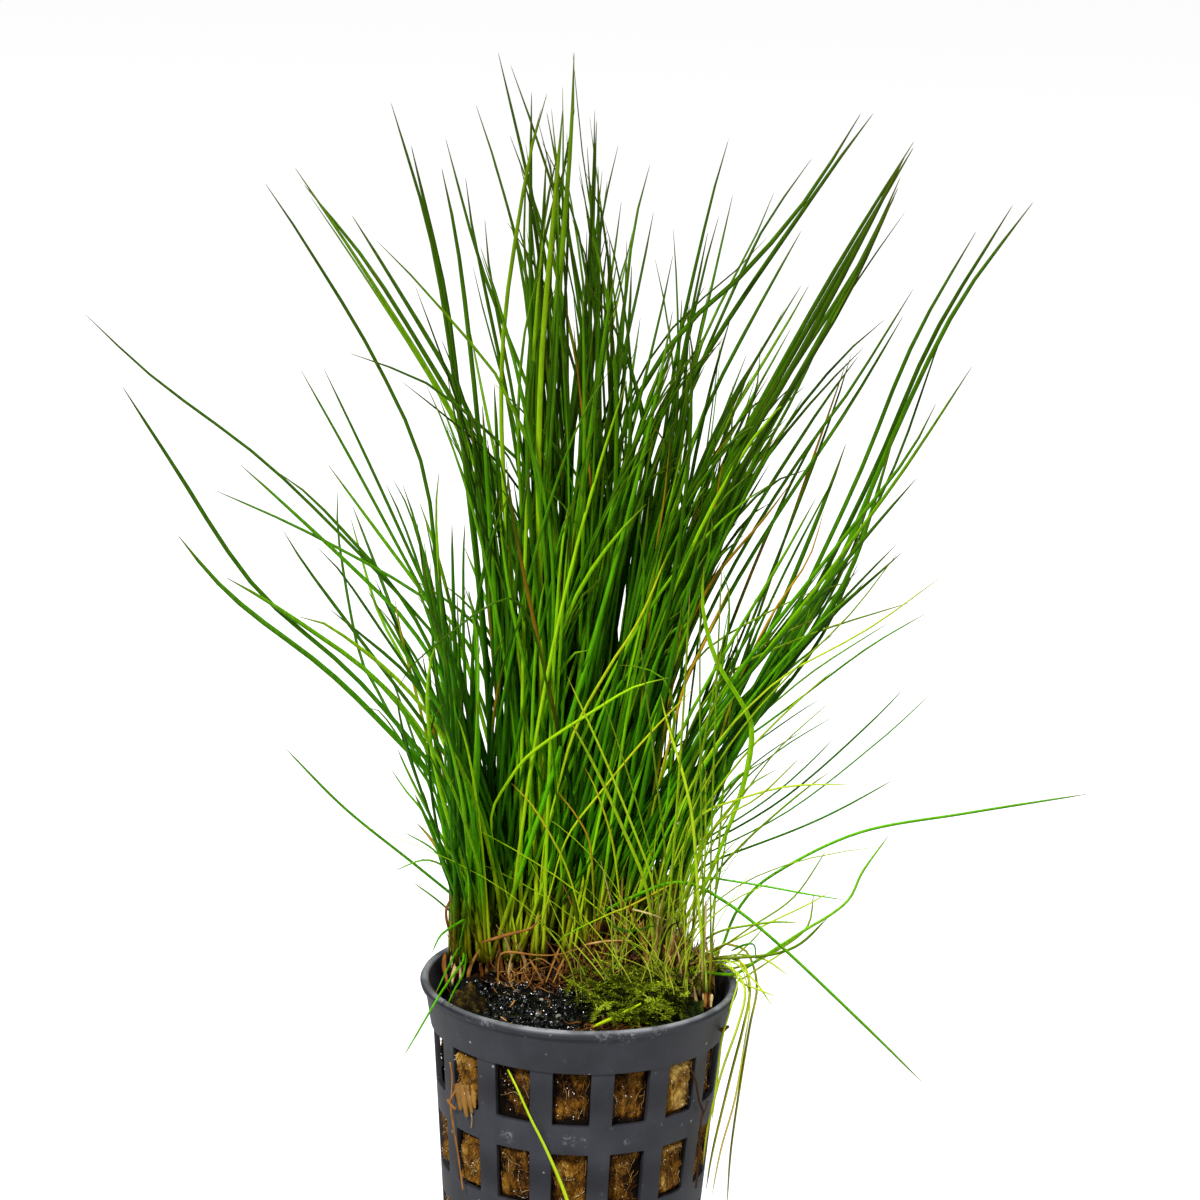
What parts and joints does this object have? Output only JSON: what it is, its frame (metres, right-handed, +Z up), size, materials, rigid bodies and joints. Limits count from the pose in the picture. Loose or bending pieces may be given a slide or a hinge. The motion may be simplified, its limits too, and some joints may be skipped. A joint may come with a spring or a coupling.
{
  "type": "dwarf hairgrass in a net pot",
  "caption": "Tufted grass-like aquarium plant with fine upright and arching culms, rooted in mineral wool in a round slotted plastic nursery pot.",
  "frame": {"origin": "middle of the underside of the pot", "axes": "+Z up; -Y is the front, where the plug's top is bare of grass; +X is to the right seen from the front"},
  "size_m": [0.173, 0.1185, 0.2069],
  "materials": {
    "pot": "charcoal moulded polypropylene, satin, worn paler on the lip",
    "wool": "brown mineral wool, fibrous and damp",
    "root_mat": "matted brown roots and dead sheaths",
    "gravel": "black glossy aquarium granules",
    "moss": "bright green feathery moss",
    "culm": "waxy green culm, paler at the base",
    "pale_culm": "young yellow-green culm",
    "root": "thin brown root"
  },
  "bodies": {
    "root": {"drooping_blade": "culm", "gravel_bed": "gravel", "left_rim_blade": "culm", "long_arching_blade": "culm", "low_left_blade": "culm", "moss_patch": "moss", "net_pot": "pot", "right_rim_blade": "culm", "rockwool_plug": "wool", "root_left": "root", "root_mat": "root_mat", "root_right": "root", "trailing_blades": "pale_culm", "tuft_01": "culm", "tuft_02": "culm", "tuft_03": "culm", "tuft_04": "culm", "tuft_05": "culm", "tuft_06": "culm", "tuft_07": "culm", "tuft_08": "culm", "tuft_09": "culm", "tuft_10": "culm", "tuft_11": "culm", "tuft_12": "culm", "tuft_13": "culm", "tuft_14": "culm", "tuft_15": "culm", "tuft_16": "culm", "tuft_17": "culm", "tuft_18": "culm", "tuft_19": "culm", "tuft_20": "culm", "tuft_21": "culm", "tuft_22": "culm", "tuft_23": "culm", "tuft_24": "culm", "tuft_25": "culm", "tuft_26": "culm", "tuft_27": "culm", "tuft_28": "culm", "tuft_29": "culm", "tuft_30": "culm", "tuft_31": "culm", "tuft_32": "culm", "tuft_33": "culm", "tuft_34": "culm", "tuft_35": "culm", "tuft_36": "pale_culm", "tuft_37": "pale_culm", "tuft_38": "pale_culm", "window_blade": "pale_culm", "wool_lump": "wool"}
  },
  "joints": []
}
